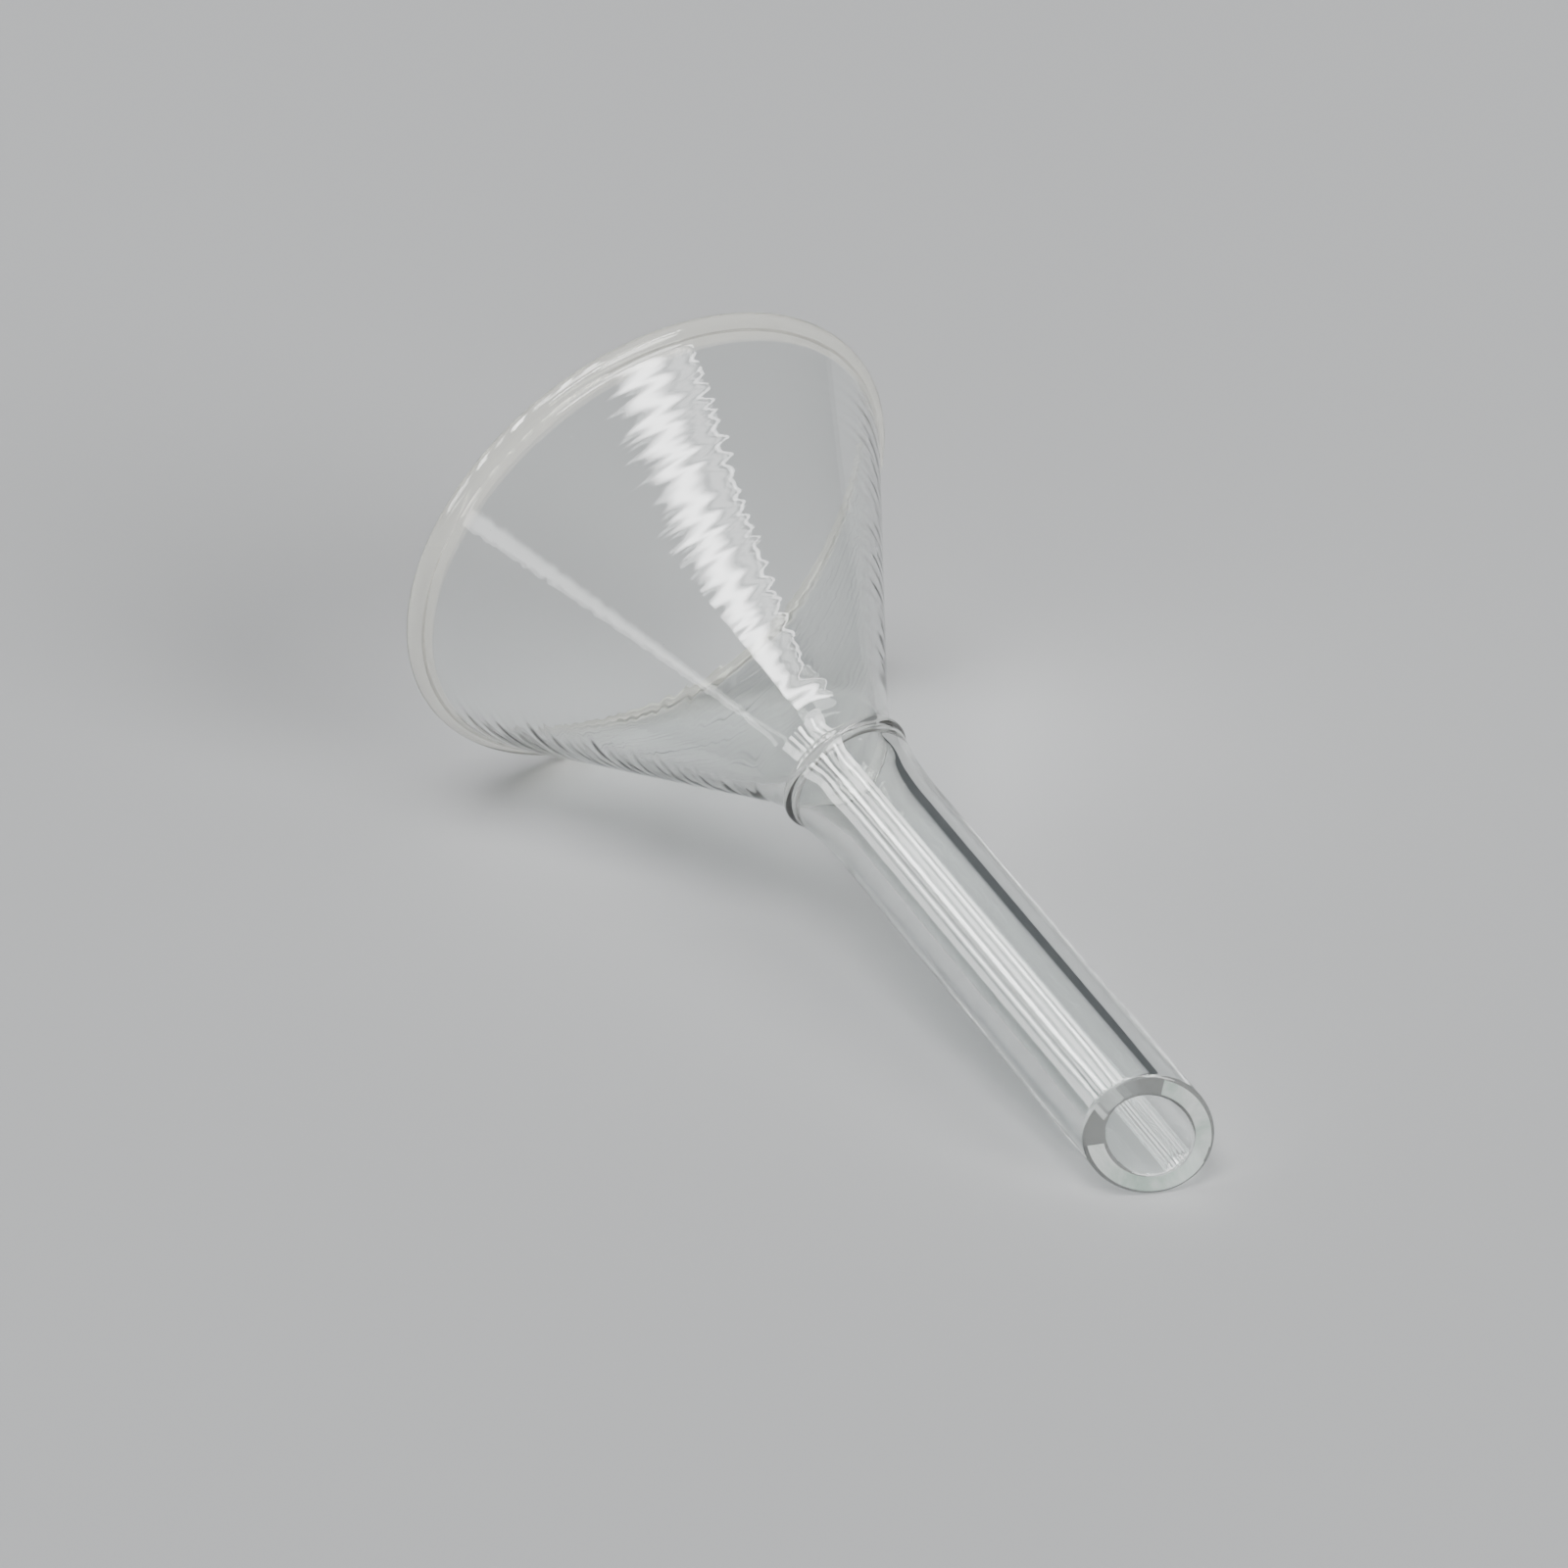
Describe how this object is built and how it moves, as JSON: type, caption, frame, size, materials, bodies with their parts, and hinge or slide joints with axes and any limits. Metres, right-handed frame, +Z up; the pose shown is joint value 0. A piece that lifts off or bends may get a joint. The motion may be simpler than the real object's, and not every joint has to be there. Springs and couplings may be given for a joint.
{
  "type": "glass funnel",
  "caption": "Small clear glass laboratory funnel: a straight-sided cone with a rounded rim bead, fused to a short thick-walled stem with a slant-cut end.",
  "frame": {"origin": "on the bench, under the middle of the bounding box, with the funnel lying on its side", "axes": "+Z up; the funnel's axis lies in the XZ plane and rises at 14.1 degrees towards the mouth at +X; the stem end is at -X; the slant cut faces -X, up and +Y"},
  "size_m": [0.0648, 0.0386, 0.0375],
  "materials": {
    "clear_glass": "clear borosilicate glass, smooth as blown, with faint rings from the forming",
    "bead_glass": "fire-polished rounded rim, bright and slightly creamy",
    "weld_glass": "flame-fused seam, glossy and slightly uneven",
    "cut_glass": "slant-cut end, ground and then softened in the flame, pale and slightly milky"
  },
  "bodies": {
    "root": {"rim_bead": "bead_glass", "cone_bowl": "clear_glass", "neck": "clear_glass", "weld_ring": "weld_glass", "stem_shoulder": "clear_glass", "stem_tube": "clear_glass", "stem_tip": "cut_glass"}
  },
  "joints": []
}
